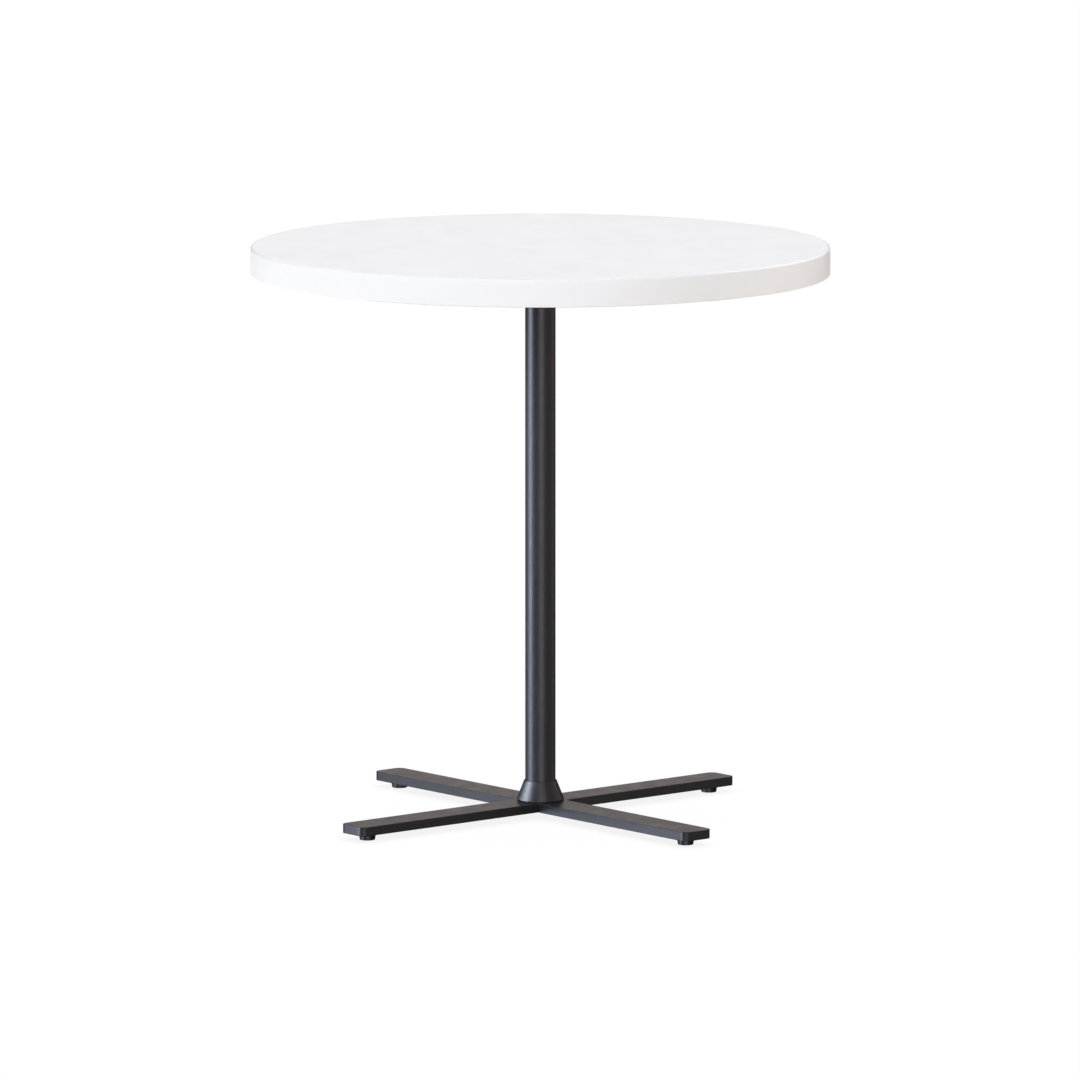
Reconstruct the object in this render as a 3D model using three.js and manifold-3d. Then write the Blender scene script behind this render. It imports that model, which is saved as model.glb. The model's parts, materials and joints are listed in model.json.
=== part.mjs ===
// Round bistro table: a laminated top on a steel spider, a round column and a cross base with four
// levelling glides. One tie rod clamps spider, column and base together.
//
// Millimetres, +Z up. The origin is on the floor under the middle of the top. The base bars lie along
// X and Y. Fits on round faces keep a gap of CLEARANCE; flat faces that bear on each other touch.

import * as THREE from 'three';
import { mergeVertices } from 'three/addons/utils/BufferGeometryUtils.js';
import Module from 'manifold-3d';

// ---------- driving dimensions ----------

const TOP_DIAMETER = 760;
const TOP_THICKNESS = 36;
const TABLE_HEIGHT = 757;
const LAMINATE_THICKNESS = 0.75;
const EDGE_BAND_THICKNESS = 3;
const EDGE_BAND_UNDER_ROUND = 1;

const COLUMN_DIAMETER = 40;
const COLUMN_WALL = 2;

const COLLAR_FOOT_DIAMETER = 63;
const COLLAR_RIM_DIAMETER = 43;
const COLLAR_HEIGHT = 26.5;
const COLLAR_RIM_BEVEL = 0.75;
const COLLAR_STEP_HEIGHT = 1;
const COLLAR_STEP_INSET = 2.25;

const BASE_BAR_LENGTH = 642;
const BASE_BAR_WIDTH = 47;
const BASE_BAR_THICKNESS = 12;
const BASE_BAR_CORNER = 10;

const SPIDER_BAR_LENGTH = 400;
const SPIDER_BAR_WIDTH = 40;
const SPIDER_BAR_THICKNESS = 6;
const SPIDER_BAR_CORNER = 6;
const SPIDER_SCREW_DISTANCES = [110, 180];

const SCREW_DIAMETER = 5;
const SCREW_LENGTH = 30;
const SCREW_POINT_LENGTH = 5;
const SCREW_HEAD_DIAMETER = 10;
const SCREW_HEAD_HEIGHT = 3;
const SCREW_HEAD_CROWN_DIAMETER = 6;
const SCREW_HEAD_SHOULDER_DIAMETER = 9;
const SCREW_HEAD_RIM_HEIGHT = 1;
const SCREW_HEAD_SHOULDER_HEIGHT = 2;

const ROD_DIAMETER = 10;
const ROD_CHAMFER = 1;
const ROD_HOLE_DIAMETER = 11;
const BOSS_HEIGHT = 20;
const ROD_SHORT_OF_SPIDER = 2;
const PLUG_HEIGHT = 12;
const NUT_HEAD_DIAMETER = 21;
const NUT_HEAD_THICKNESS = 2.75;
const NUT_HEAD_CHAMFER = 0.5;
const NUT_SLEEVE_DIAMETER = 13.5;
const NUT_LENGTH = 11.25;
const NUT_RECESS_DEPTH = 3;
const NUT_SOCKET_ACROSS_FLATS = 10;

const GLIDE_HEIGHT = 9;
const GLIDE_TOP_DIAMETER = 23;
const GLIDE_FOOT_DIAMETER = 20;
const GLIDE_FOOT_CHAMFER = 0.5;
const GLIDE_END_DISTANCE = 27;
const STUD_DIAMETER = 8;
const STUD_LENGTH = 8.5;
const STUD_FLANGE_DIAMETER = 13;
const STUD_FLANGE_THICKNESS = 4.25;
const STUD_CHAMFER = 1;
const STUD_HOLE_DEPTH = 9.5;

const CLEARANCE = 0.3;

// ---------- worked-out levels and radii ----------

const BASE_UNDERSIDE = GLIDE_HEIGHT;
const BASE_TOP = BASE_UNDERSIDE + BASE_BAR_THICKNESS;
const TOP_UNDERSIDE = TABLE_HEIGHT - TOP_THICKNESS;
const SPIDER_UNDERSIDE = TOP_UNDERSIDE - SPIDER_BAR_THICKNESS;
const COLUMN_LENGTH = SPIDER_UNDERSIDE - BASE_TOP;
const ROD_FOOT = BASE_UNDERSIDE + NUT_RECESS_DEPTH + CLEARANCE;
const BOARD_RADIUS = TOP_DIAMETER / 2 - EDGE_BAND_THICKNESS - CLEARANCE;
const TUBE_INNER_RADIUS = COLUMN_DIAMETER / 2 - COLUMN_WALL;
const GLIDE_RADIUS_FROM_AXIS = BASE_BAR_LENGTH / 2 - GLIDE_END_DISTANCE;

const FINE_STEPS = 80;
const ROUND_STEPS = 32;
const SMALL_STEPS = 16;
const CORNER_STEPS = 8;
const EDGE_ROUND_STEPS = 4;
const HEXAGON = 6;
const OVERSHOOT = 1;
const MERGE_TOLERANCE = 1e-5;

const ARM_DIRECTIONS = { right: [1, 0], back: [0, 1], left: [-1, 0], front: [0, -1] };

// ---------- materials ----------

const finish = (color, roughness, metalness) =>
  new THREE.MeshStandardMaterial({ color, roughness, metalness });

const MATERIALS = {
  whiteLaminate: finish(0xf1f2f2, 0.45, 0),
  whiteEdging: finish(0xf0f0ef, 0.4, 0),
  backerSheet: finish(0xe4e4e2, 0.6, 0),
  particleBoard: finish(0xb9935f, 0.9, 0),
  blackPowderCoat: finish(0x2b2b2d, 0.45, 0),
  zincSteel: finish(0xb4b7ba, 0.35, 1),
  blackPlastic: finish(0x161616, 0.55, 0),
};

// ---------- solids ----------

const wasm = await Module();
wasm.setup();

function solidOf(geometry) {
  geometry.deleteAttribute('normal');
  geometry.deleteAttribute('uv');
  const merged = mergeVertices(geometry, MERGE_TOLERANCE);
  const corners = merged.index.array;
  const triVerts = [];
  for (let i = 0; i < corners.length; i += 3) {
    const [a, b, c] = corners.slice(i, i + 3);
    const collapsed = a === b || b === c || c === a;
    if (!collapsed) triVerts.push(a, b, c);
  }
  return new wasm.Manifold(new wasm.Mesh({
    numProp: 3,
    vertProperties: merged.attributes.position.array,
    triVerts: Uint32Array.from(triVerts),
  }));
}

function geometryOf(solid) {
  const mesh = solid.getMesh();
  const geometry = new THREE.BufferGeometry();
  geometry.setAttribute('position', new THREE.BufferAttribute(mesh.vertProperties, 3));
  geometry.setIndex(new THREE.BufferAttribute(mesh.triVerts, 1));
  geometry.computeVertexNormals();
  return geometry;
}

function cutAway(solid, tools) {
  return tools.reduce((rest, tool) => rest.subtract(tool), solid);
}

// A solid of revolution about Z. The profile is [radius, height] points with the material on their
// left: up the outside, and down the bore if there is one.
function turned(profile, steps) {
  const points = profile.map(([radius, height]) => new THREE.Vector2(radius, height));
  const geometry = new THREE.LatheGeometry(points, steps);
  geometry.rotateX(Math.PI / 2);
  return solidOf(geometry);
}

function disc(radius, height, steps) {
  return turned([[0, 0], [radius, 0], [radius, height], [0, height]], steps);
}

function ring(innerRadius, outerRadius, height, steps) {
  return turned([
    [innerRadius, 0],
    [outerRadius, 0],
    [outerRadius, height],
    [innerRadius, height],
    [innerRadius, 0],
  ], steps);
}

// A round hole's tool, standing on the level where the hole starts.
function drill(radius, x, y, from, depth) {
  return disc(radius, depth, SMALL_STEPS).translate([x, y, from]);
}

function block(sizeX, sizeY, sizeZ, centreZ) {
  return solidOf(new THREE.BoxGeometry(sizeX, sizeY, sizeZ)).translate([0, 0, centreZ]);
}

// A flat bar lying on Z = 0 along X, with its four upright corners rounded.
function flatBar(length, width, thickness, corner) {
  const endX = length / 2;
  const sideY = width / 2;
  const outline = new THREE.Shape();
  outline.absarc(endX - corner, corner - sideY, corner, -Math.PI / 2, 0);
  outline.absarc(endX - corner, sideY - corner, corner, 0, Math.PI / 2);
  outline.absarc(corner - endX, sideY - corner, corner, Math.PI / 2, Math.PI);
  outline.absarc(corner - endX, corner - sideY, corner, Math.PI, Math.PI * 1.5);
  outline.closePath();
  const options = { depth: thickness, bevelEnabled: false, curveSegments: CORNER_STEPS };
  return solidOf(new THREE.ExtrudeGeometry(outline, options));
}

// The two bars of a cross, each notched to half its thickness where the other one passes. The first
// lies along X with its notch underneath, the second along Y with its notch on top.
function halfLappedBars(length, width, thickness, corner) {
  const half = thickness / 2;
  const notchHeight = half + OVERSHOOT;
  const along = flatBar(length, width, thickness, corner);
  const across = along.rotate([0, 0, 90]);
  const notchUnder = block(width, width + 2 * OVERSHOOT, notchHeight, half - notchHeight / 2);
  const notchOver = block(width + 2 * OVERSHOOT, width, notchHeight, half + notchHeight / 2);
  return [along.subtract(notchUnder), across.subtract(notchOver)];
}

// ---------- sub-parts ----------

function screwPlaces() {
  const places = [];
  for (const [x, y] of Object.values(ARM_DIRECTIONS)) {
    for (const distance of SPIDER_SCREW_DISTANCES) places.push([x * distance, y * distance]);
  }
  return places;
}

function glidePlace([x, y]) {
  return [x * GLIDE_RADIUS_FROM_AXIS, y * GLIDE_RADIUS_FROM_AXIS];
}

// The slab between the two laminates, with a pilot hole for each spider screw.
function topCore() {
  const thickness = TOP_THICKNESS - 2 * LAMINATE_THICKNESS;
  const throughSpider = SPIDER_BAR_THICKNESS + LAMINATE_THICKNESS;
  const pilotDepth = SCREW_LENGTH - throughSpider + OVERSHOOT;
  const pilots = screwPlaces().map(([x, y]) =>
    drill(SCREW_DIAMETER / 2 + CLEARANCE, x, y, -OVERSHOOT, pilotDepth + OVERSHOOT));
  return cutAway(disc(BOARD_RADIUS, thickness, FINE_STEPS), pilots);
}

function topBacker() {
  const holes = screwPlaces().map(([x, y]) =>
    drill(SCREW_DIAMETER / 2 + CLEARANCE, x, y, -OVERSHOOT, LAMINATE_THICKNESS + 2 * OVERSHOOT));
  return cutAway(disc(BOARD_RADIUS, LAMINATE_THICKNESS, FINE_STEPS), holes);
}

function topLaminate() {
  return disc(BOARD_RADIUS, LAMINATE_THICKNESS, FINE_STEPS);
}

// The edging: its upper outer corner is rounded over the band's whole thickness.
function edgeBand() {
  const outer = TOP_DIAMETER / 2;
  const inner = outer - EDGE_BAND_THICKNESS;
  const round = EDGE_BAND_THICKNESS;
  const arc = [];
  for (let step = 0; step <= EDGE_ROUND_STEPS; step += 1) {
    const angle = (step / EDGE_ROUND_STEPS) * (Math.PI / 2);
    arc.push([inner + round * Math.cos(angle), TOP_THICKNESS - round + round * Math.sin(angle)]);
  }
  return turned([
    [inner, 0],
    [outer - EDGE_BAND_UNDER_ROUND, 0],
    [outer, EDGE_BAND_UNDER_ROUND],
    ...arc,
    [inner, 0],
  ], FINE_STEPS);
}

function spiderBars() {
  const bars = halfLappedBars(
    SPIDER_BAR_LENGTH, SPIDER_BAR_WIDTH, SPIDER_BAR_THICKNESS, SPIDER_BAR_CORNER);
  const holes = screwPlaces().map(([x, y]) =>
    drill(SCREW_DIAMETER / 2 + 2 * CLEARANCE, x, y, -OVERSHOOT, SPIDER_BAR_THICKNESS + 2 * OVERSHOOT));
  return bars.map((bar) => cutAway(bar, holes));
}

// A pan-head wood screw, point up, with its head's flat face at Z = 0.
function spiderScrew() {
  const shank = SCREW_DIAMETER / 2;
  return turned([
    [0, -SCREW_HEAD_HEIGHT],
    [SCREW_HEAD_CROWN_DIAMETER / 2, -SCREW_HEAD_HEIGHT],
    [SCREW_HEAD_SHOULDER_DIAMETER / 2, -SCREW_HEAD_SHOULDER_HEIGHT],
    [SCREW_HEAD_DIAMETER / 2, -SCREW_HEAD_RIM_HEIGHT],
    [SCREW_HEAD_DIAMETER / 2, 0],
    [shank, 0],
    [shank, SCREW_LENGTH - SCREW_POINT_LENGTH],
    [0, SCREW_LENGTH],
  ], SMALL_STEPS);
}

function columnTube() {
  return ring(TUBE_INNER_RADIUS, COLUMN_DIAMETER / 2, COLUMN_LENGTH, ROUND_STEPS);
}

function spiderBoss() {
  return ring(ROD_DIAMETER / 2 + CLEARANCE, TUBE_INNER_RADIUS - CLEARANCE, BOSS_HEIGHT, ROUND_STEPS);
}

function footPlug() {
  return ring(ROD_HOLE_DIAMETER / 2, TUBE_INNER_RADIUS - CLEARANCE, PLUG_HEIGHT, ROUND_STEPS);
}

// A cone round the column's foot. It stands on a smaller step, which leaves a shadow gap.
function collar() {
  const bore = COLUMN_DIAMETER / 2 + CLEARANCE;
  const foot = COLLAR_FOOT_DIAMETER / 2;
  const rim = COLLAR_RIM_DIAMETER / 2;
  const step = foot - COLLAR_STEP_INSET;
  return turned([
    [bore, 0],
    [step, 0],
    [step, COLLAR_STEP_HEIGHT],
    [foot, COLLAR_STEP_HEIGHT],
    [rim, COLLAR_HEIGHT - COLLAR_RIM_BEVEL],
    [rim - COLLAR_RIM_BEVEL, COLLAR_HEIGHT],
    [bore, COLLAR_HEIGHT],
    [bore, 0],
  ], ROUND_STEPS);
}

// The base bars, with the tie nut's hole and recess in the middle and blind tapped holes for the
// glide studs.
function baseBars() {
  const bars = halfLappedBars(BASE_BAR_LENGTH, BASE_BAR_WIDTH, BASE_BAR_THICKNESS, BASE_BAR_CORNER);
  const holes = Object.values(ARM_DIRECTIONS).map((direction) => {
    const [x, y] = glidePlace(direction);
    return drill(STUD_DIAMETER / 2 + CLEARANCE, x, y, -OVERSHOOT, STUD_HOLE_DEPTH + OVERSHOOT);
  });
  const sleeveHole = NUT_SLEEVE_DIAMETER / 2 + CLEARANCE;
  const headRecess = NUT_HEAD_DIAMETER / 2 + CLEARANCE;
  holes.push(drill(sleeveHole, 0, 0, -OVERSHOOT, BASE_BAR_THICKNESS + 2 * OVERSHOOT));
  holes.push(drill(headRecess, 0, 0, -OVERSHOOT, NUT_RECESS_DEPTH + OVERSHOOT));
  return bars.map((bar) => cutAway(bar, holes));
}

function tieRod() {
  const radius = ROD_DIAMETER / 2;
  const length = SPIDER_UNDERSIDE - ROD_SHORT_OF_SPIDER - ROD_FOOT;
  return turned([
    [0, 0],
    [radius - ROD_CHAMFER, 0],
    [radius, ROD_CHAMFER],
    [radius, length - ROD_CHAMFER],
    [radius - ROD_CHAMFER, length],
    [0, length],
  ], SMALL_STEPS);
}

// A flat-headed sleeve nut, sunk into the base bars from below. A hexagon socket turns it.
function tieNut() {
  const head = NUT_HEAD_DIAMETER / 2;
  const sleeve = NUT_SLEEVE_DIAMETER / 2;
  const body = turned([
    [0, 0],
    [head - NUT_HEAD_CHAMFER, 0],
    [head, NUT_HEAD_CHAMFER],
    [head, NUT_HEAD_THICKNESS],
    [sleeve, NUT_HEAD_THICKNESS],
    [sleeve, NUT_LENGTH],
    [0, NUT_LENGTH],
  ], ROUND_STEPS);
  const socket = disc(NUT_SOCKET_ACROSS_FLATS / Math.sqrt(3), NUT_HEAD_THICKNESS, HEXAGON);
  const bore = drill(ROD_DIAMETER / 2 + CLEARANCE, 0, 0, -OVERSHOOT, NUT_LENGTH + 2 * OVERSHOOT);
  return body.subtract(socket).subtract(bore);
}

// A tapered plastic foot with a socket on top for the stud's flange.
function glidePad() {
  const foot = GLIDE_FOOT_DIAMETER / 2;
  const socket = STUD_FLANGE_DIAMETER / 2 + CLEARANCE;
  const socketFloor = GLIDE_HEIGHT - STUD_FLANGE_THICKNESS - 2 * CLEARANCE;
  return turned([
    [0, 0],
    [foot - GLIDE_FOOT_CHAMFER, 0],
    [foot, GLIDE_FOOT_CHAMFER],
    [GLIDE_TOP_DIAMETER / 2, GLIDE_HEIGHT],
    [socket, GLIDE_HEIGHT],
    [socket, socketFloor],
    [0, socketFloor],
  ], ROUND_STEPS);
}

// The stud stands in the pad's socket, its flange just under the bar, its shank up in the bar.
function glideStud() {
  const flangeTop = GLIDE_HEIGHT - CLEARANCE;
  const flangeUnderside = flangeTop - STUD_FLANGE_THICKNESS;
  const shank = STUD_DIAMETER / 2;
  const shankTop = GLIDE_HEIGHT + STUD_LENGTH;
  return turned([
    [0, flangeUnderside],
    [STUD_FLANGE_DIAMETER / 2, flangeUnderside],
    [STUD_FLANGE_DIAMETER / 2, flangeTop],
    [shank, flangeTop],
    [shank, shankTop - STUD_CHAMFER],
    [shank - STUD_CHAMFER, shankTop],
    [0, shankTop],
  ], SMALL_STEPS);
}

// ---------- assembly ----------

function piece(name, solid, material, z = 0) {
  const mesh = new THREE.Mesh(geometryOf(solid), material);
  mesh.name = name;
  mesh.position.z = z;
  return mesh;
}

function topGroup() {
  const group = new THREE.Group();
  group.position.z = TOP_UNDERSIDE;
  group.add(
    piece('top_backer', topBacker(), MATERIALS.backerSheet),
    piece('top_core', topCore(), MATERIALS.particleBoard, LAMINATE_THICKNESS),
    piece('top_laminate', topLaminate(), MATERIALS.whiteLaminate, TOP_THICKNESS - LAMINATE_THICKNESS),
    piece('edge_band', edgeBand(), MATERIALS.whiteEdging),
  );
  return group;
}

function spiderGroup() {
  const group = new THREE.Group();
  group.position.z = SPIDER_UNDERSIDE;
  const [upper, lower] = spiderBars();
  group.add(
    piece('spider_bar_upper', upper, MATERIALS.blackPowderCoat),
    piece('spider_bar_lower', lower, MATERIALS.blackPowderCoat),
    piece('spider_boss', spiderBoss(), MATERIALS.zincSteel, -BOSS_HEIGHT),
  );
  screwPlaces().forEach(([x, y], index) => {
    const screw = piece(`spider_screw_${index + 1}`, spiderScrew(), MATERIALS.zincSteel);
    screw.position.set(x, y, 0);
    group.add(screw);
  });
  return group;
}

function columnGroup() {
  const group = new THREE.Group();
  group.position.z = BASE_TOP;
  group.add(
    piece('column_tube', columnTube(), MATERIALS.blackPowderCoat),
    piece('foot_plug', footPlug(), MATERIALS.zincSteel),
    piece('collar', collar(), MATERIALS.blackPowderCoat),
  );
  return group;
}

function baseGroup() {
  const group = new THREE.Group();
  group.position.z = BASE_UNDERSIDE;
  const [upper, lower] = baseBars();
  group.add(
    piece('base_bar_upper', upper, MATERIALS.blackPowderCoat),
    piece('base_bar_lower', lower, MATERIALS.blackPowderCoat),
    piece('tie_nut', tieNut(), MATERIALS.zincSteel, NUT_RECESS_DEPTH - NUT_HEAD_THICKNESS),
  );
  return group;
}

function glideGroup(side, direction) {
  const group = new THREE.Group();
  const [x, y] = glidePlace(direction);
  group.position.set(x, y, 0);
  group.add(
    piece(`${side}_glide_pad`, glidePad(), MATERIALS.blackPlastic),
    piece(`${side}_glide_stud`, glideStud(), MATERIALS.zincSteel),
  );
  return group;
}

const bistroTable = new THREE.Group();
bistroTable.add(
  topGroup(),
  spiderGroup(),
  columnGroup(),
  baseGroup(),
  piece('tie_rod', tieRod(), MATERIALS.zincSteel, ROD_FOOT),
);
for (const [side, direction] of Object.entries(ARM_DIRECTIONS)) {
  bistroTable.add(glideGroup(side, direction));
}

export default bistroTable;
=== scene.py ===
import json
import math

import bmesh
import bpy
from mathutils import Matrix, Vector


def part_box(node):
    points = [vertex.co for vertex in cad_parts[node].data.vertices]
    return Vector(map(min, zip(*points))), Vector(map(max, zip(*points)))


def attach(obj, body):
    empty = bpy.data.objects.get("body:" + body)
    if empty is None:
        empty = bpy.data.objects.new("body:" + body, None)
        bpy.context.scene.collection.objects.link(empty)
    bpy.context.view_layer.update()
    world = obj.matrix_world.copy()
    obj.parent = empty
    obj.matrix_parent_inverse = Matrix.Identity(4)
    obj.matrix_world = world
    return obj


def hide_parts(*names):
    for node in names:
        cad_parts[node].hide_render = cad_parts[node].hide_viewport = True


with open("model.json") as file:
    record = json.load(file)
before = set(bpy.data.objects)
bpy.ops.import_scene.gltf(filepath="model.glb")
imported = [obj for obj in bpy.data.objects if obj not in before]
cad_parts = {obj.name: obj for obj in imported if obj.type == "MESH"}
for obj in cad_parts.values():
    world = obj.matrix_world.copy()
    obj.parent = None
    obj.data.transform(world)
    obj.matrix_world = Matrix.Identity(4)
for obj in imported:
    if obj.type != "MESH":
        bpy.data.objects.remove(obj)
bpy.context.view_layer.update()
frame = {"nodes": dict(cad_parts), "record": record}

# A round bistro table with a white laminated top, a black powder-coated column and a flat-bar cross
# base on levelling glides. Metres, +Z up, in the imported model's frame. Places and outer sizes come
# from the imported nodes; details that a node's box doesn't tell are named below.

SIDES = ("right", "back", "left", "front")
SCREWS = [f"spider_screw_{number}" for number in range(1, 9)]

# ---------- details in metres ----------

TUBE_WALL = 0.002
TUBE_END_ROUND = 0.0003
BAR_CORNER = 0.010
BAR_EDGE_ROUND = 0.0005
SPIDER_CORNER = 0.006
SPIDER_EDGE_ROUND = 0.0004
SEAM_GAP = 0.00005
EDGING_THICKNESS = 0.003
EDGING_UNDER_ROUND = 0.001
EDGING_TOP_ROUND = 0.00294
COLLAR_STEP_HEIGHT = 0.001
COLLAR_STEP_INSET = 0.00225
COLLAR_TAPER = 0.010
COLLAR_RIM_ROUND = 0.0006
COLLAR_FOOT_ROUND = 0.0005
COLLAR_BORE_ROUND = 0.001
RUNNING_GAP = 0.0003
ROD_CHAMFER = 0.001
ROD_THREAD_LENGTH = 0.030
NUT_SLEEVE_RADIUS = 0.00675
NUT_HEAD_THICKNESS = 0.00275
NUT_RECESS_DEPTH = 0.003
NUT_SOCKET_HALF_WIDTH = 0.005
NUT_EDGE_ROUND = 0.0003
STUD_RADIUS = 0.004
STUD_CHAMFER = 0.001
STUD_FLANGE_ROUND = 0.0003
STUD_HOLE_RADIUS = 0.0043
STUD_HOLE_DEPTH = 0.0095
PAD_TAPER = 0.0015
PAD_FOOT_ROUND = 0.0005
PAD_TOP_ROUND = 0.0003
PAD_SOCKET_ROUND = 0.0002
SCREW_HOLE_RADIUS = 0.0031
SCREW_HEAD_HEIGHT = 0.003
SCREW_HEAD_ROUNDS = (0.0012, 0.0006, 0.0002)
SCREW_SHANK_RADIUS = 0.0025
SCREW_PLAIN_LENGTH = 0.006
SCREW_POINT_LENGTH = 0.005
SCREW_TIP_LENGTH = 0.002
SCREW_RECESS = (0.0045, 0.0009, 0.0019)

# The flat share of a screw's head, and each screw's turn from the one before it, in radians.
SCREW_HEAD_CROWN = 0.62
SCREW_TURN = 0.7

# Threads: pitch and depth. A wood screw's thread starts a lead's length past its plain shank.
STUD_THREAD = (0.00125, 0.0006)
ROD_THREAD = (0.0015, 0.0007)
WOOD_THREAD = (0.0022, 0.0008)
THREAD_LEAD = 0.0002

# How far a cutting tool reaches past what it cuts.
OVERSHOOT = 0.002

# Facets in a full turn, and in a rounded corner.
FINE_STEPS = 256
ROUND_STEPS = 96
SMALL_STEPS = 32
FILLET_STEPS = 5


# ---------- mesh helpers ----------

def box_size(node):
    """A CAD node's lowest corner, its highest corner and its size."""
    low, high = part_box(node)
    return low, high, high - low


def radius_of(node):
    return box_size(node)[2].x / 2


def middle_of(node):
    low, high, _ = box_size(node)
    return (low + high) / 2


def fillet(before, corner, after, radius):
    """Points of the arc that rounds a profile's corner, each (radius, height)."""
    corner = Vector(corner)
    toward_before = (Vector(before) - corner).normalized()
    toward_after = (Vector(after) - corner).normalized()
    half_angle = toward_before.angle(toward_after) / 2
    reach = radius / math.tan(half_angle)
    start = corner + toward_before * reach
    end = corner + toward_after * reach
    centre = corner + (toward_before + toward_after).normalized() * (radius / math.sin(half_angle))
    points = []
    for step in range(FILLET_STEPS + 1):
        spoke = (start - centre).lerp(end - centre, step / FILLET_STEPS).normalized()
        points.append(centre + spoke * radius)
    return points


def rounded(corners):
    """Turns corners given as (radius, height, rounding) into a profile with its corners rounded."""
    points = []
    count = len(corners)
    for index, (r, z, rounding) in enumerate(corners):
        before = corners[(index - 1) % count][:2]
        after = corners[(index + 1) % count][:2]
        if rounding > 0:
            points.extend(fillet(before, (r, z), after, rounding))
        else:
            points.append(Vector((r, z)))
    return [(point.x, point.y) for point in points]


def thread_wave(turns):
    """0 on a thread's crest and 1 in its root. Each has a flat, a tenth of a turn wide."""
    ramp = abs(2 * (turns % 1.0) - 1)
    return min(1.0, max(0.0, 1.25 * ramp - 0.125))


def turned_mesh(name, profile, steps, thread=None):
    """A closed solid of revolution about Z. Profile points are (radius, height) or
    (radius, height, share of the thread's depth), up the outside and down the bore."""
    mesh = bmesh.new()
    rows = []
    for point in profile:
        radius, height = point[0], point[1]
        share = point[2] if len(point) > 2 else 0.0
        if radius < 1e-7:
            rows.append([mesh.verts.new((0, 0, height))])
            continue
        row = []
        for step in range(steps):
            turn = step / steps
            here = radius
            if share:
                pitch, depth = thread
                here -= share * depth * thread_wave(height / pitch - turn)
            angle = turn * 2 * math.pi
            row.append(mesh.verts.new((here * math.cos(angle), here * math.sin(angle), height)))
        rows.append(row)
    on_axis = len(rows[0]) == 1 and len(rows[-1]) == 1
    pairs = list(zip(rows, rows[1:]))
    if not on_axis:
        pairs.append((rows[-1], rows[0]))
    for lower, upper in pairs:
        if len(lower) == 1:
            mesh.faces.new(list(reversed(upper)))
        elif len(upper) == 1:
            mesh.faces.new(lower)
        else:
            for step in range(steps):
                after = (step + 1) % steps
                mesh.faces.new((lower[step], lower[after], upper[after], upper[step]))
    if on_axis:
        loose = [vert for vert in mesh.verts if not vert.link_faces]
        bmesh.ops.delete(mesh, geom=loose, context="VERTS")
    data = bpy.data.meshes.new(name)
    mesh.to_mesh(data)
    mesh.free()
    return data


def threaded_rows(radius, start, end, pitch, rows_a_turn=8):
    """Profile points of a threaded stretch, which runs out to the plain radius at both ends."""
    count = max(2, round((end - start) / pitch * rows_a_turn))
    points = []
    for row in range(count + 1):
        height = start + (end - start) * row / count
        run_out = min(height - start, end - height) / (0.75 * pitch)
        points.append((radius, height, min(1.0, run_out)))
    return points


def add_object(name, data):
    piece = bpy.data.objects.new(name, data)
    bpy.context.scene.collection.objects.link(piece)
    return piece


def turned(name, profile, steps=ROUND_STEPS, thread=None):
    return add_object(name, turned_mesh(name, profile, steps, thread))


def settle(piece):
    """Applies a piece's modifiers to its mesh."""
    graph = bpy.context.evaluated_depsgraph_get()
    data = bpy.data.meshes.new_from_object(piece.evaluated_get(graph))
    piece.modifiers.clear()
    piece.data = data
    return piece


def cut(piece, tool):
    """Takes tool away from piece, and removes the tool."""
    change = piece.modifiers.new("cut", "BOOLEAN")
    change.object = tool
    change.operation = "DIFFERENCE"
    change.solver = "EXACT"
    settle(piece)
    bpy.data.objects.remove(tool)
    return piece


def block(size, centre, turn=0.0):
    """A plain box, used as a cutting tool."""
    mesh = bmesh.new()
    bmesh.ops.create_cube(mesh, size=1.0)
    scale = Matrix.Diagonal((*size, 1.0))
    bmesh.ops.transform(mesh, matrix=Matrix.Rotation(turn, 4, "Z") @ scale, verts=mesh.verts)
    bmesh.ops.translate(mesh, vec=centre, verts=mesh.verts)
    data = bpy.data.meshes.new("tool")
    mesh.to_mesh(data)
    mesh.free()
    return add_object("tool", data)


def drill(radius, x, y, bottom, top):
    """A round cutting tool, standing at x, y."""
    tool = turned("tool", [(0, bottom), (radius, bottom), (radius, top), (0, top)], SMALL_STEPS)
    tool.data.transform(Matrix.Translation((x, y, 0)))
    return tool


def smooth(piece, sharp_degrees=40):
    """Smooth shading that keeps the flat faces flat."""
    piece.data.shade_smooth()
    piece.data.set_sharp_from_angle(angle=math.radians(sharp_degrees))
    normals = piece.modifiers.new("normals", "WEIGHTED_NORMAL")
    normals.keep_sharp = True
    normals.weight = 80
    return piece


def rounded_outline(length, width, corner, steps=12):
    """A flat bar's outline, with round corners, anticlockwise from above."""
    points = []
    for quarter, (sign_x, sign_y) in enumerate(((1, -1), (1, 1), (-1, 1), (-1, -1))):
        centre = Vector((sign_x * (length / 2 - corner), sign_y * (width / 2 - corner)))
        for step in range(steps + 1):
            angle = math.pi / 2 * (quarter - 1 + step / steps)
            points.append(centre + corner * Vector((math.cos(angle), math.sin(angle))))
    return points


def plate(name, outline, bottom, top):
    """A flat plate with the given outline."""
    mesh = bmesh.new()
    lower = [mesh.verts.new((point.x, point.y, bottom)) for point in outline]
    upper = [mesh.verts.new((point.x, point.y, top)) for point in outline]
    mesh.faces.new(list(reversed(lower)))
    mesh.faces.new(upper)
    for index in range(len(outline)):
        after = (index + 1) % len(outline)
        mesh.faces.new((lower[index], lower[after], upper[after], upper[index]))
    data = bpy.data.meshes.new(name)
    mesh.to_mesh(data)
    mesh.free()
    return add_object(name, data)


def round_edges(piece, width, segments=3):
    bevel = piece.modifiers.new("edges", "BEVEL")
    bevel.width = width
    bevel.segments = segments
    bevel.limit_method = "ANGLE"
    bevel.angle_limit = math.radians(35)
    bevel.use_clamp_overlap = True
    return settle(piece)


# ---------- material helpers ----------

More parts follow.
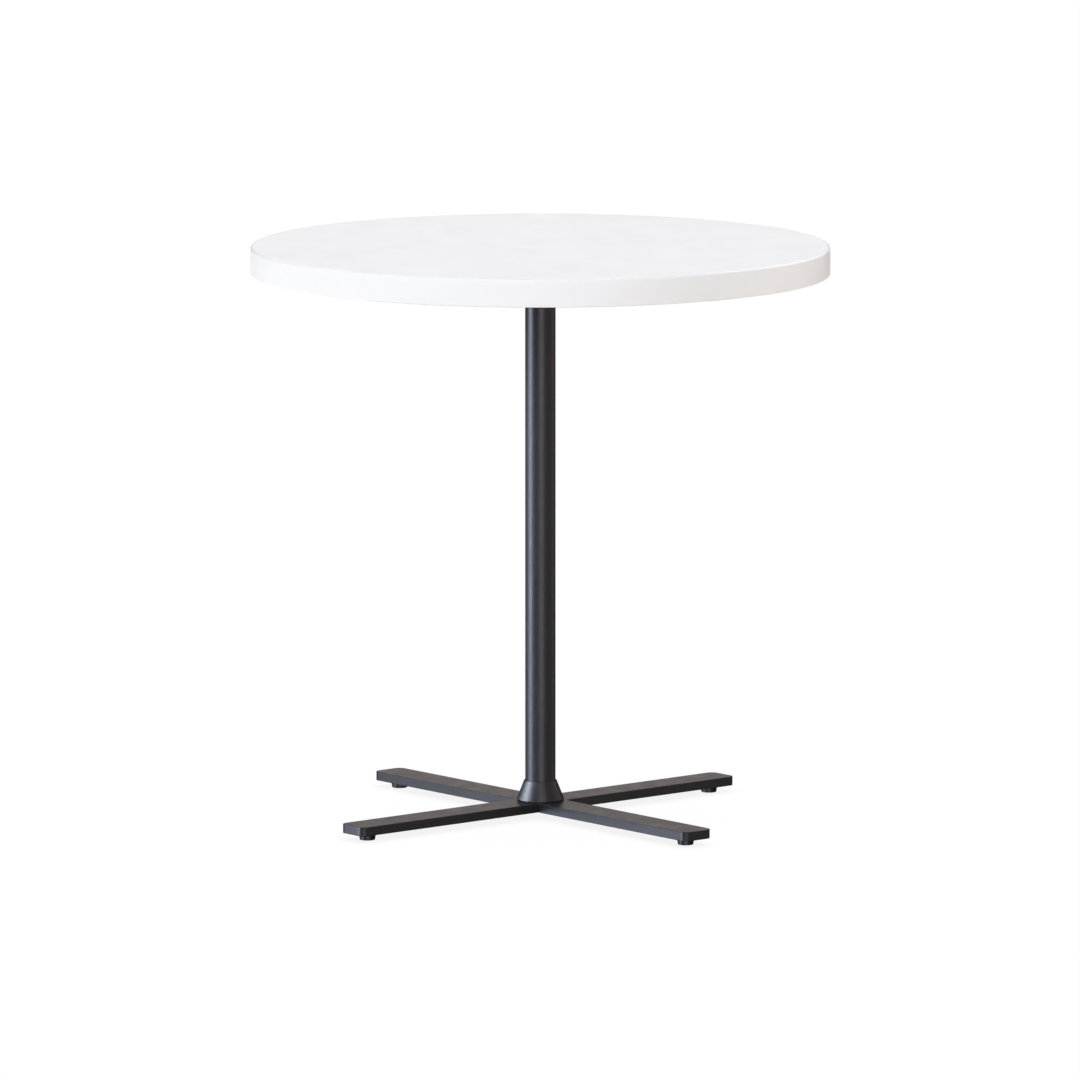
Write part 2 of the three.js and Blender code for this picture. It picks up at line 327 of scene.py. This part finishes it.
class Recipe:
    """A material under construction: its node tree and its Principled shader."""

    def __init__(self, name):
        self.material = bpy.data.materials.new(name)
        self.material.use_nodes = True
        self.nodes = self.material.node_tree.nodes
        self.links = self.material.node_tree.links
        self.shader = self.nodes["Principled BSDF"]
        place = self.nodes.new("ShaderNodeTexCoord")
        self.place = place.outputs["Object"]

    def set(self, **values):
        for socket, value in values.items():
            self.shader.inputs[socket.replace("_", " ")].default_value = value

    def stretched(self, scale):
        mapping = self.nodes.new("ShaderNodeMapping")
        mapping.inputs["Scale"].default_value = scale
        self.links.new(self.place, mapping.inputs["Vector"])
        return mapping.outputs["Vector"]

    def noise(self, scale, detail=2.0, roughness=0.5, place=None):
        texture = self.nodes.new("ShaderNodeTexNoise")
        texture.inputs["Scale"].default_value = scale
        texture.inputs["Detail"].default_value = detail
        texture.inputs["Roughness"].default_value = roughness
        self.links.new(place or self.place, texture.inputs["Vector"])
        return texture.outputs["Fac"]

    def cells(self, scale, place=None):
        texture = self.nodes.new("ShaderNodeTexVoronoi")
        texture.inputs["Scale"].default_value = scale
        self.links.new(place or self.place, texture.inputs["Vector"])
        return texture.outputs

    def spread(self, value, low, high, start=0.3, end=0.7):
        """Maps a texture's value from start..end to low..high."""
        change = self.nodes.new("ShaderNodeMapRange")
        change.inputs["From Min"].default_value = start
        change.inputs["From Max"].default_value = end
        change.inputs["To Min"].default_value = low
        change.inputs["To Max"].default_value = high
        self.links.new(value, change.inputs["Value"])
        return change.outputs["Result"]

    def blend(self, value, *stops):
        """Colours along a ramp, each stop (place, (red, green, blue))."""
        ramp = self.nodes.new("ShaderNodeValToRGB")
        points = ramp.color_ramp.elements
        while len(points) < len(stops):
            points.new(0.5)
        for point, (where, colour) in zip(points, stops):
            point.position = where
            point.color = (*colour, 1.0)
        self.links.new(value, ramp.inputs["Fac"])
        return ramp.outputs["Color"]

    def bump(self, height, distance, strength=1.0, under=None):
        node = self.nodes.new("ShaderNodeBump")
        node.inputs["Strength"].default_value = strength
        node.inputs["Distance"].default_value = distance
        self.links.new(height, node.inputs["Height"])
        if under is not None:
            self.links.new(under, node.inputs["Normal"])
        return node.outputs["Normal"]

    def feed(self, **sources):
        for socket, source in sources.items():
            self.links.new(source, self.shader.inputs[socket.replace("_", " ")])


# ---------- materials ----------

def powder_coat():
    """Black satin powder coat: fine orange peel over a finer grain, with faint uneven gloss."""
    recipe = Recipe("powder_coat")
    recipe.set(IOR=1.5)
    tone = recipe.noise(14, detail=3)
    blacks = recipe.blend(tone, (0.3, (0.0125, 0.0125, 0.0135)), (0.7, (0.0165, 0.016, 0.0165)))
    recipe.feed(Base_Color=blacks)
    recipe.feed(Roughness=recipe.spread(recipe.noise(45, detail=4), 0.40, 0.46))
    peel = recipe.bump(recipe.noise(420, detail=1.5), 0.00012, 0.35)
    grain = recipe.bump(recipe.noise(2200, detail=2), 0.00003, 0.35, under=peel)
    recipe.feed(Normal=grain)
    return recipe.material


def white_laminate():
    """White laminate with a fine pearl texture pressed into it."""
    recipe = Recipe("white_laminate")
    recipe.set(IOR=1.48)
    tone = recipe.noise(6, detail=2)
    recipe.feed(Base_Color=recipe.blend(tone, (0.3, (0.812, 0.815, 0.817)), (0.7, (0.825, 0.827, 0.827))))
    recipe.feed(Roughness=recipe.spread(recipe.noise(30, detail=4), 0.44, 0.52))
    pearl = recipe.bump(recipe.noise(1400, detail=2), 0.00004, 0.3)
    recipe.feed(Normal=pearl)
    return recipe.material


def white_edging():
    """Extruded white plastic edging: smoother than the laminate, with faint lengthwise lines."""
    recipe = Recipe("white_edging")
    recipe.set(IOR=1.5)
    tone = recipe.noise(5, detail=2)
    recipe.feed(Base_Color=recipe.blend(tone, (0.3, (0.814, 0.814, 0.814)), (0.7, (0.826, 0.826, 0.826))))
    recipe.feed(Roughness=recipe.spread(recipe.noise(60, detail=3), 0.34, 0.42))
    lines = recipe.noise(40, detail=3, place=recipe.stretched((1, 1, 40)))
    drawn = recipe.bump(lines, 0.00004, 0.15)
    grain = recipe.bump(recipe.noise(1800, detail=2), 0.00002, 0.25, under=drawn)
    recipe.feed(Normal=grain)
    return recipe.material


def backer_sheet():
    """Off-white balancing laminate with its sanded, slightly mottled face."""
    recipe = Recipe("backer_sheet")
    tone = recipe.noise(35, detail=5, roughness=0.6)
    recipe.feed(Base_Color=recipe.blend(tone, (0.3, (0.66, 0.655, 0.64)), (0.7, (0.73, 0.725, 0.71))))
    recipe.feed(Roughness=recipe.spread(recipe.noise(90, detail=3), 0.55, 0.7))
    recipe.feed(Normal=recipe.bump(recipe.noise(900, detail=3), 0.00005, 0.3))
    return recipe.material


def particle_board():
    """Pressed wood chips in several browns."""
    recipe = Recipe("particle_board")
    chips = recipe.cells(420)
    mixed = recipe.noise(160, detail=4, roughness=0.7)
    shade = recipe.nodes.new("ShaderNodeMix")
    shade.data_type = "RGBA"
    shade.blend_type = "MULTIPLY"
    shade.inputs["Factor"].default_value = 0.35
    browns = recipe.blend(
        mixed,
        (0.3, (0.34, 0.2, 0.09)),
        (0.5, (0.52, 0.35, 0.18)),
        (0.7, (0.68, 0.5, 0.29)),
    )
    recipe.links.new(browns, shade.inputs["A"])
    recipe.links.new(chips["Color"], shade.inputs["B"])
    recipe.feed(Base_Color=shade.outputs["Result"])
    recipe.set(Roughness=0.85)
    recipe.feed(Normal=recipe.bump(chips["Distance"], 0.0003, 0.5))
    return recipe.material


def zinc_steel():
    """Bright zinc plating: a slightly uneven grey metal with fine turning marks."""
    recipe = Recipe("zinc_steel")
    recipe.set(Metallic=1.0)
    tone = recipe.noise(120, detail=4)
    recipe.feed(Base_Color=recipe.blend(tone, (0.3, (0.5, 0.51, 0.52)), (0.7, (0.62, 0.63, 0.64))))
    recipe.feed(Roughness=recipe.spread(recipe.noise(300, detail=3), 0.28, 0.42))
    marks = recipe.noise(300, detail=2, place=recipe.stretched((1, 1, 12)))
    recipe.feed(Normal=recipe.bump(marks, 0.00005, 0.2))
    return recipe.material


def glide_plastic():
    """Black moulded polyamide with a fine spark-eroded grain."""
    recipe = Recipe("glide_plastic")
    recipe.set(IOR=1.55)
    tone = recipe.noise(200, detail=3)
    recipe.feed(Base_Color=recipe.blend(tone, (0.3, (0.008, 0.008, 0.0085)), (0.7, (0.012, 0.012, 0.0125))))
    recipe.feed(Roughness=recipe.spread(recipe.noise(500, detail=3), 0.38, 0.48))
    recipe.feed(Normal=recipe.bump(recipe.noise(2600, detail=2), 0.00004, 0.5))
    return recipe.material


MATERIALS = {
    "powder_coat": powder_coat(),
    "top_laminate": white_laminate(),
    "edging": white_edging(),
    "backer": backer_sheet(),
    "board": particle_board(),
    "zinc_steel": zinc_steel(),
    "glide_plastic": glide_plastic(),
}
SLOT_OF_NODE = {row["node"]: row["material_slot"] for row in frame["record"]["subparts"]}
BODY_OF_NODE = {
    node: body for body, nodes in frame["record"]["behaviour"]["bodies"].items() for node in nodes
}
PIECE_OF_NODE = {}


def stands_for(piece, node):
    """Gives a piece its CAD node's finish and body, and puts it in that node's place."""
    slot = SLOT_OF_NODE[node]
    piece.data.materials.clear()
    piece.data.materials.append(MATERIALS[slot])
    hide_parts(node)
    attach(piece, BODY_OF_NODE[node])
    PIECE_OF_NODE[node] = piece
    return piece


# ---------- camera ----------

CAMERA_TURN = math.radians(-39.94)
CAMERA_DISTANCE = 13.886
CAMERA_HEIGHT = 2.3576
CAMERA_AIM_HEIGHT = 0.3671
CAMERA_LENS = 355.34
CAMERA_STEP_LEFT = 0.0005


def make_camera():
    data = bpy.data.cameras.new("camera")
    data.lens = CAMERA_LENS
    data.sensor_width = 36
    camera = bpy.data.objects.new("camera", data)
    toward_camera = Vector((math.sin(CAMERA_TURN), -math.cos(CAMERA_TURN), 0))
    left = Vector((-math.cos(CAMERA_TURN), -math.sin(CAMERA_TURN), 0))
    aim = Vector((0, 0, CAMERA_AIM_HEIGHT)) + left * CAMERA_STEP_LEFT
    camera.location = toward_camera * CAMERA_DISTANCE + left * CAMERA_STEP_LEFT
    camera.location.z = CAMERA_HEIGHT
    gaze = aim - camera.location
    camera.rotation_euler = gaze.to_track_quat("-Z", "Y").to_euler()
    bpy.context.scene.collection.objects.link(camera)
    bpy.context.scene.camera = camera


# ---------- the top ----------

def make_top():
    """The edging is a ring. The two sheets fill it, above and below the board, which the CAD provides."""
    low, high, _ = box_size("edge_band")
    outer = radius_of("edge_band")
    inner = outer - EDGING_THICKNESS
    board = inner - SEAM_GAP
    band = rounded([
        (inner, low.z, 0),
        (outer, low.z, EDGING_UNDER_ROUND),
        (outer, high.z, EDGING_TOP_ROUND),
        (inner, high.z, 0),
    ])
    stands_for(smooth(turned("top_edging", band, FINE_STEPS)), "edge_band")
    for node, name in (("top_laminate", "top_face"), ("top_backer", "top_underside")):
        bottom, top, _ = box_size(node)
        sheet = turned(name, [(0, bottom.z), (board, bottom.z), (board, top.z), (0, top.z)], FINE_STEPS)
        if node == "top_backer":
            for screw in SCREWS:
                middle = middle_of(screw)
                ends = (bottom.z - OVERSHOOT, top.z + OVERSHOOT)
                cut(sheet, drill(SCREW_HOLE_RADIUS, middle.x, middle.y, *ends))
        stands_for(smooth(sheet), node)


# ---------- column and collar ----------

def make_column():
    low, high, _ = box_size("column_tube")
    outer = radius_of("column_tube")
    inner = outer - TUBE_WALL
    wall = rounded([
        (inner, low.z, 0),
        (outer, low.z, TUBE_END_ROUND),
        (outer, high.z, TUBE_END_ROUND),
        (inner, high.z, 0),
    ])
    stands_for(smooth(turned("column", wall, ROUND_STEPS)), "column_tube")


def make_collar():
    """A cone round the column's foot, on a narrower step."""
    low, high, _ = box_size("collar")
    foot = radius_of("collar")
    rim = foot - COLLAR_TAPER
    bore = radius_of("column_tube") + RUNNING_GAP
    step = foot - COLLAR_STEP_INSET
    ledge = low.z + COLLAR_STEP_HEIGHT
    cone = rounded([
        (bore, low.z, 0),
        (step, low.z, 0),
        (step, ledge, 0),
        (foot, ledge, COLLAR_FOOT_ROUND),
        (rim, high.z, COLLAR_RIM_ROUND),
        (bore, high.z, COLLAR_BORE_ROUND),
    ])
    stands_for(smooth(turned("column_collar", cone, ROUND_STEPS)), "collar")


# ---------- flat-bar crosses ----------

def make_cross(upper_node, lower_node, corner, edge_round, holes, names):
    """Two flat bars, half-lapped where they cross. Holes are drill() arguments."""
    low, high, size = box_size(upper_node)
    width = size.y
    middle = (low.z + high.z) / 2
    half = (high.z - low.z) / 2
    for node, name, turn in ((upper_node, names[0], 0.0), (lower_node, names[1], math.pi / 2)):
        bar = plate(name, rounded_outline(size.x, width, corner), low.z, high.z)
        bar.data.transform(Matrix.Rotation(turn, 4, "Z"))
        is_upper = node == upper_node
        notch_height = half + OVERSHOOT
        notch_z = middle - notch_height / 2 if is_upper else middle + notch_height / 2
        notch_size = (width, width + OVERSHOOT, notch_height)
        cut(bar, block(notch_size, (0, 0, notch_z), turn))
        reach = size.x / 2
        for radius, x, y, bottom, top in holes:
            across = y if is_upper else x
            along = x if is_upper else y
            if abs(across) < width / 2 and abs(along) < reach:
                cut(bar, drill(radius, x, y, bottom, top))
        round_edges(bar, edge_round)
        stands_for(smooth(bar), node)


def make_base():
    low, high, _ = box_size("base_bar_upper")
    recess = radius_of("tie_nut") + RUNNING_GAP
    holes = [
        (NUT_SLEEVE_RADIUS + RUNNING_GAP, 0, 0, low.z - OVERSHOOT, high.z + OVERSHOOT),
        (recess, 0, 0, low.z - OVERSHOOT, low.z + NUT_RECESS_DEPTH),
    ]
    for side in SIDES:
        middle = middle_of(f"{side}_glide_pad")
        holes.append((STUD_HOLE_RADIUS, middle.x, middle.y, low.z - OVERSHOOT, low.z + STUD_HOLE_DEPTH))
    make_cross("base_bar_upper", "base_bar_lower", BAR_CORNER, BAR_EDGE_ROUND, holes,
               ("leg_bar_upper", "leg_bar_lower"))


def make_spider():
    low, high, _ = box_size("spider_bar_upper")
    holes = []
    for screw in SCREWS:
        middle = middle_of(screw)
        holes.append((SCREW_HOLE_RADIUS, middle.x, middle.y, low.z - OVERSHOOT, high.z + OVERSHOOT))
    make_cross("spider_bar_upper", "spider_bar_lower", SPIDER_CORNER, SPIDER_EDGE_ROUND, holes,
               ("spider_bar_a", "spider_bar_b"))


# ---------- fasteners ----------

def screw_mesh(size):
    """A pan-head wood screw, point up, with a cross recess in its head. Its head starts at Z = 0."""
    head = size.x / 2
    crown_round, shoulder_round, rim_round = SCREW_HEAD_ROUNDS
    profile = rounded([
        (0, 0, 0),
        (head * SCREW_HEAD_CROWN, 0, crown_round),
        (head, SCREW_HEAD_HEIGHT * SCREW_HEAD_CROWN, shoulder_round),
        (head, SCREW_HEAD_HEIGHT, rim_round),
        (SCREW_SHANK_RADIUS, SCREW_HEAD_HEIGHT, 0),
        (SCREW_SHANK_RADIUS, SCREW_HEAD_HEIGHT + SCREW_PLAIN_LENGTH, 0),
    ])
    thread_start = SCREW_HEAD_HEIGHT + SCREW_PLAIN_LENGTH + THREAD_LEAD
    thread_end = size.z - SCREW_POINT_LENGTH
    profile += threaded_rows(SCREW_SHANK_RADIUS, thread_start, thread_end, WOOD_THREAD[0])
    profile += [(SCREW_SHANK_RADIUS / 2, size.z - SCREW_TIP_LENGTH), (0, size.z)]
    screw = turned("tool_screw", profile, SMALL_STEPS, WOOD_THREAD)
    recess_length, recess_width, recess_depth = SCREW_RECESS
    for turn in (0.0, math.pi / 2):
        cut(screw, block((recess_length, recess_width, 2 * recess_depth), (0, 0, 0), turn))
    data = screw.data
    bpy.data.objects.remove(screw)
    return data


def make_screws():
    data = screw_mesh(box_size(SCREWS[0])[2])
    for index, node in enumerate(SCREWS):
        low, _, _ = box_size(node)
        middle = middle_of(node)
        own = data.copy()
        own.transform(Matrix.Rotation(index * SCREW_TURN, 4, "Z"))
        own.transform(Matrix.Translation((middle.x, middle.y, low.z)))
        stands_for(smooth(add_object(f"screw_{index + 1}", own)), node)


def make_tie_rod():
    """The long rod inside the column, threaded at both ends."""
    low, high, _ = box_size("tie_rod")
    radius = radius_of("tie_rod")
    core = radius - ROD_CHAMFER
    profile = [(0, low.z), (core, low.z), (radius, low.z + ROD_CHAMFER)]
    profile += threaded_rows(radius, low.z + ROD_CHAMFER, low.z + ROD_THREAD_LENGTH, ROD_THREAD[0])[1:]
    profile += threaded_rows(radius, high.z - ROD_THREAD_LENGTH, high.z - ROD_CHAMFER, ROD_THREAD[0])
    profile += [(core, high.z), (0, high.z)]
    rod = turned("tie_rod_threaded", profile, SMALL_STEPS, ROD_THREAD)
    stands_for(smooth(rod, 30), "tie_rod")


def make_tie_nut():
    """The flat-headed sleeve nut under the crossing, with a hexagon socket in its head."""
    low, high, _ = box_size("tie_nut")
    head = radius_of("tie_nut")
    ledge = low.z + NUT_HEAD_THICKNESS
    profile = rounded([
        (0, low.z, 0),
        (head, low.z, 2 * NUT_EDGE_ROUND),
        (head, ledge, NUT_EDGE_ROUND),
        (NUT_SLEEVE_RADIUS, ledge, 0),
        (NUT_SLEEVE_RADIUS, high.z, NUT_EDGE_ROUND),
        (0, high.z, 0),
    ])
    nut = turned("sleeve_nut", profile, ROUND_STEPS)
    corner = NUT_SOCKET_HALF_WIDTH / math.cos(math.pi / 6)
    socket = [(0, low.z - OVERSHOOT), (corner, low.z - OVERSHOOT), (corner, ledge), (0, ledge)]
    cut(nut, turned("tool", socket, 6))
    cut(nut, drill(radius_of("tie_rod") + RUNNING_GAP, 0, 0, low.z, high.z + OVERSHOOT))
    stands_for(smooth(nut), "tie_nut")


# ---------- glides ----------

def make_pad(side):
    """A tapered foot with a socket in its top for the stud's flange."""
    low, high, size = box_size(f"{side}_glide_pad")
    stud_low, _, stud_size = box_size(f"{side}_glide_stud")
    top = size.x / 2
    socket = stud_size.x / 2 + RUNNING_GAP
    bottom = stud_low.z - RUNNING_GAP
    profile = rounded([
        (0, low.z, 0),
        (top - PAD_TAPER, low.z, PAD_FOOT_ROUND),
        (top, high.z, PAD_TOP_ROUND),
        (socket, high.z, PAD_SOCKET_ROUND),
        (socket, bottom, 0),
        (0, bottom, 0),
    ])
    return turned(f"{side}_glide_foot", profile, ROUND_STEPS)


def make_stud(side):
    """A threaded stud with a flange at its lower end."""
    low, high, size = box_size(f"{side}_glide_stud")
    flange = size.x / 2
    flange_top = box_size(f"{side}_glide_pad")[1].z - RUNNING_GAP
    profile = rounded([
        (0, low.z, 0),
        (flange, low.z, STUD_FLANGE_ROUND),
        (flange, flange_top, STUD_FLANGE_ROUND),
        (STUD_RADIUS, flange_top, 0),
    ])[:-1]
    profile += threaded_rows(STUD_RADIUS, flange_top, high.z - STUD_CHAMFER, STUD_THREAD[0])
    profile += [(STUD_RADIUS - STUD_CHAMFER, high.z), (0, high.z)]
    return turned(f"{side}_glide_screw", profile, SMALL_STEPS, STUD_THREAD)


def make_glides():
    for side in SIDES:
        middle = middle_of(f"{side}_glide_pad")
        place = Matrix.Translation((middle.x, middle.y, 0))
        pad = make_pad(side)
        pad.data.transform(place)
        stands_for(smooth(pad), f"{side}_glide_pad")
        stud = make_stud(side)
        stud.data.transform(place)
        stands_for(smooth(stud, 30), f"{side}_glide_stud")


# ---------- hidden CAD pieces that stay as they are ----------

def finish_hidden_nodes():
    for node in ("top_core", "spider_boss", "foot_plug"):
        carried = frame["nodes"][node]
        carried.data.materials.clear()
        carried.data.materials.append(MATERIALS[SLOT_OF_NODE[node]])


# ---------- floor and light ----------

FLOOR_HALF = 60.0
FLOOR_GLOW = 0.885
FLOOR_PAPER = 0.16
FLOOR_LIGHT_STRENGTH = 2.4
FLOOR_LIGHT_ANGLE = math.radians(100)
DOME_RADIUS = 54.0
DOME_GLOW = 1.0
TABLE_MIDDLE = Vector((0, 0, 0.42))
LAMP_DISTANCE = 6.0
# Four sets of softboxes: for the top's face, its rim and underside, the column with its collar, and the base.
# Each softbox: turn, rise, width and height in degrees, and its red, green and blue radiance. Their places
# and sizes were laid out as candidates. A least-squares program, working against the photograph,
# picked which of them to keep and solved for the radiances, which were then rounded. They suit the camera's
# side: from behind, the rim burns out to white.
FACE_SLOTS = ("top_laminate",)
FACE_SOFTBOXES = {
    "overhead": (0, 89, 60, 60, (4.02, 4.00, 4.06)),
}
RIM_SLOTS = ("edging", "backer", "board")
RIM_SOFTBOXES = {
    "rim_left": (-78, 28, 56, 50, (1.63, 1.59, 1.40)),
    "rim_front_left": (-30, 28, 50, 50, (1.16, 1.32, 1.62)),
    "rim_front": (20, 28, 50, 50, (2.53, 2.50, 2.28)),
    "rim_rear_right": (125, 28, 50, 50, (1.79, 1.85, 2.21)),
    "rim_back": (180, 45, 80, 50, (1.60, 1.53, 1.56)),
    "bounce_left": (-90, -28, 50, 40, (2.22, 2.18, 2.13)),
    "bounce_front": (10, -28, 50, 40, (1.60, 1.45, 1.61)),
    "bounce_rear_right": (110, -28, 50, 40, (2.51, 2.18, 1.75)),
    "bounce_rear_left": (-140, -28, 50, 40, (4.29, 4.35, 4.60)),
}
COLUMN_NODES = ("column_tube", "collar")
COLUMN_SOFTBOXES = {
    "key": (-80, 10, 12, 40, (18.7, 20.8, 25.3)),
    "key_upper": (-82, 26, 24, 13, (20.9, 23.6, 28.8)),
    "key_lower": (-82, -10, 24, 13, (6.7, 6.7, 9.2)),
    "key_rear": (-100, 14, 20, 13, (11.5, 12.2, 13.5)),
    "column_front": (8, 6, 34, 60, (3.05, 2.99, 3.21)),
    "column_right": (62, 8, 40, 40, (0.66, 0.57, 0.49)),
    "column_rear_right": (108, 8, 40, 44, (0.85, 0.71, 0.76)),
}
BASE_SLOTS = ("powder_coat", "zinc_steel", "glide_plastic")
BASE_SOFTBOXES = {
    "low_key": (-82, -10, 24, 13, (12.1, 13.0, 15.3)),
    "low_key_front": (-60, -10, 20, 18, (1.34, 1.29, 1.69)),
    "low_key_under": (-75, -18, 20, 20, (4.9, 5.3, 6.7)),
    "high_left": (-88, 44, 50, 24, (5.5, 6.1, 6.8)),
    "high_front": (5, 40, 60, 24, (2.19, 2.19, 2.25)),
    "low_front": (5, -24, 36, 26, (3.04, 3.08, 3.41)),
    "base_right": (62, 8, 40, 40, (0.90, 0.76, 0.72)),
    "base_rear_right": (108, 8, 40, 44, (0.65, 0.54, 0.58)),
    "base_back": (-180, 2, 30, 26, (1.33, 1.20, 1.15)),
}


def dome_paper():
    """A plain, even glow."""
    material = bpy.data.materials.new("dome_paper")
    material.use_nodes = True
    nodes, links = material.node_tree.nodes, material.node_tree.links
    nodes.clear()
    output = nodes.new("ShaderNodeOutputMaterial")
    light = nodes.new("ShaderNodeEmission")
    light.inputs["Strength"].default_value = DOME_GLOW
    links.new(light.outputs["Emission"], output.inputs["Surface"])
    return material


def floor_paper():
    """An even glow with some diffuse paper in it, for a soft contact shadow. Clear from below."""
    material = bpy.data.materials.new("floor_paper")
    material.use_nodes = True
    nodes, links = material.node_tree.nodes, material.node_tree.links
    nodes.clear()
    output = nodes.new("ShaderNodeOutputMaterial")
    light = nodes.new("ShaderNodeEmission")
    light.inputs["Strength"].default_value = FLOOR_GLOW
    paper = nodes.new("ShaderNodeBsdfDiffuse")
    paper.inputs["Color"].default_value = (FLOOR_PAPER, FLOOR_PAPER, FLOOR_PAPER, 1)
    both = nodes.new("ShaderNodeAddShader")
    links.new(light.outputs["Emission"], both.inputs[0])
    links.new(paper.outputs["BSDF"], both.inputs[1])
    geometry = nodes.new("ShaderNodeNewGeometry")
    clear = nodes.new("ShaderNodeBsdfTransparent")
    pick = nodes.new("ShaderNodeMixShader")
    links.new(geometry.outputs["Backfacing"], pick.inputs["Fac"])
    links.new(both.outputs["Shader"], pick.inputs[1])
    links.new(clear.outputs["BSDF"], pick.inputs[2])
    links.new(pick.outputs["Shader"], output.inputs["Surface"])
    return material


def seen_by_camera_only(stage_piece):
    """The camera sees this piece. It neither lights, shades nor reflects in the table."""
    stage_piece.visible_diffuse = False
    stage_piece.visible_glossy = False
    stage_piece.visible_transmission = False
    stage_piece.visible_shadow = False


def add_stage(name, mesh, paper):
    data = bpy.data.meshes.new(name)
    mesh.to_mesh(data)
    mesh.free()
    data.materials.append(paper)
    stage_piece = add_object(name, data)
    seen_by_camera_only(stage_piece)
    return stage_piece


def make_stage():
    """A pale floor, which is returned, and a pale dome."""
    sheet = bmesh.new()
    bmesh.ops.create_grid(sheet, x_segments=1, y_segments=1, size=FLOOR_HALF)
    floor = add_stage("floor", sheet, floor_paper())
    shell = bmesh.new()
    bmesh.ops.create_icosphere(shell, subdivisions=4, radius=DOME_RADIUS)
    bmesh.ops.reverse_faces(shell, faces=shell.faces)
    add_stage("dome", shell, dome_paper())
    return floor


def pieces_of(*slots):
    """Every piece made of one of these materials."""
    wanted = [MATERIALS[slot] for slot in slots]
    return [
        piece for piece in bpy.context.scene.objects
        if piece.type == "MESH" and piece.active_material in wanted
    ]


def gathered(name, pieces):
    """A collection of pieces, for light linking."""
    group = bpy.data.collections.new(name)
    for piece in pieces:
        group.objects.link(piece)
    return group


def softbox(name, turn, rise, wide, tall, radiance, lit):
    """An area lamp aimed at the table, LAMP_DISTANCE away. Turn is degrees to the camera's right and rise
    is degrees above the table's middle. It looks wide by tall degrees large from the table."""
    width = 2 * LAMP_DISTANCE * math.tan(math.radians(wide) / 2)
    height = 2 * LAMP_DISTANCE * math.tan(math.radians(tall) / 2)
    brightest = max(radiance)
    data = bpy.data.lights.new(name, "AREA")
    data.shape = "RECTANGLE"
    data.size = width
    data.size_y = height
    data.energy = brightest * math.pi * width * height
    data.color = [share / brightest for share in radiance]
    lamp = bpy.data.objects.new(name, data)
    angle = CAMERA_TURN + math.radians(turn)
    level = math.cos(math.radians(rise)) * LAMP_DISTANCE
    lamp.location = TABLE_MIDDLE + Vector((
        math.sin(angle) * level,
        -math.cos(angle) * level,
        math.sin(math.radians(rise)) * LAMP_DISTANCE,
    ))
    gaze = TABLE_MIDDLE - lamp.location
    lamp.rotation_euler = gaze.to_track_quat("-Z", "Y").to_euler()
    lamp.visible_camera = False
    lamp.light_linking.receiver_collection = lit
    bpy.context.scene.collection.objects.link(lamp)


def floor_light(floor, base_pieces):
    """An even light from straight above for the floor alone. Only the base shades it, softly."""
    data = bpy.data.lights.new("floor_light", "SUN")
    data.energy = FLOOR_LIGHT_STRENGTH
    data.angle = FLOOR_LIGHT_ANGLE
    lamp = bpy.data.objects.new("floor_light", data)
    lamp.light_linking.receiver_collection = gathered("lit_floor", [floor])
    lamp.light_linking.blocker_collection = gathered("shades_floor", base_pieces)
    bpy.context.scene.collection.objects.link(lamp)


def make_lights(floor):
    """The softboxes are linked to the pieces they light: the face from above, the rim from all round and
    from below, and the black parts by lamps which each show as a stripe. Their key stands on the left and
    is cool. For the flat bars it is kept low, out of their mirror angle."""
    floor_light(floor, pieces_of("powder_coat", "glide_plastic"))
    world = bpy.data.worlds.new("studio")
    world.use_nodes = True
    world.node_tree.nodes["Background"].inputs["Strength"].default_value = 0.0
    bpy.context.scene.world = world

    column = [PIECE_OF_NODE[node] for node in COLUMN_NODES]
    base = [piece for piece in pieces_of(*BASE_SLOTS) if piece not in column]
    for name, pieces, lamps in (
        ("lit_face", pieces_of(*FACE_SLOTS), FACE_SOFTBOXES),
        ("lit_rim", pieces_of(*RIM_SLOTS), RIM_SOFTBOXES),
        ("lit_column", column, COLUMN_SOFTBOXES),
        ("lit_base", base, BASE_SOFTBOXES),
    ):
        lit = gathered(name, pieces)
        for lamp, setting in lamps.items():
            softbox(lamp, *setting, lit)


# ---------- assembly ----------

make_camera()
make_top()
make_column()
make_collar()
make_base()
make_spider()
make_screws()
make_tie_rod()
make_tie_nut()
make_glides()
finish_hidden_nodes()
floor = make_stage()
make_lights(floor)
bpy.context.scene.view_settings.view_transform = "Standard"
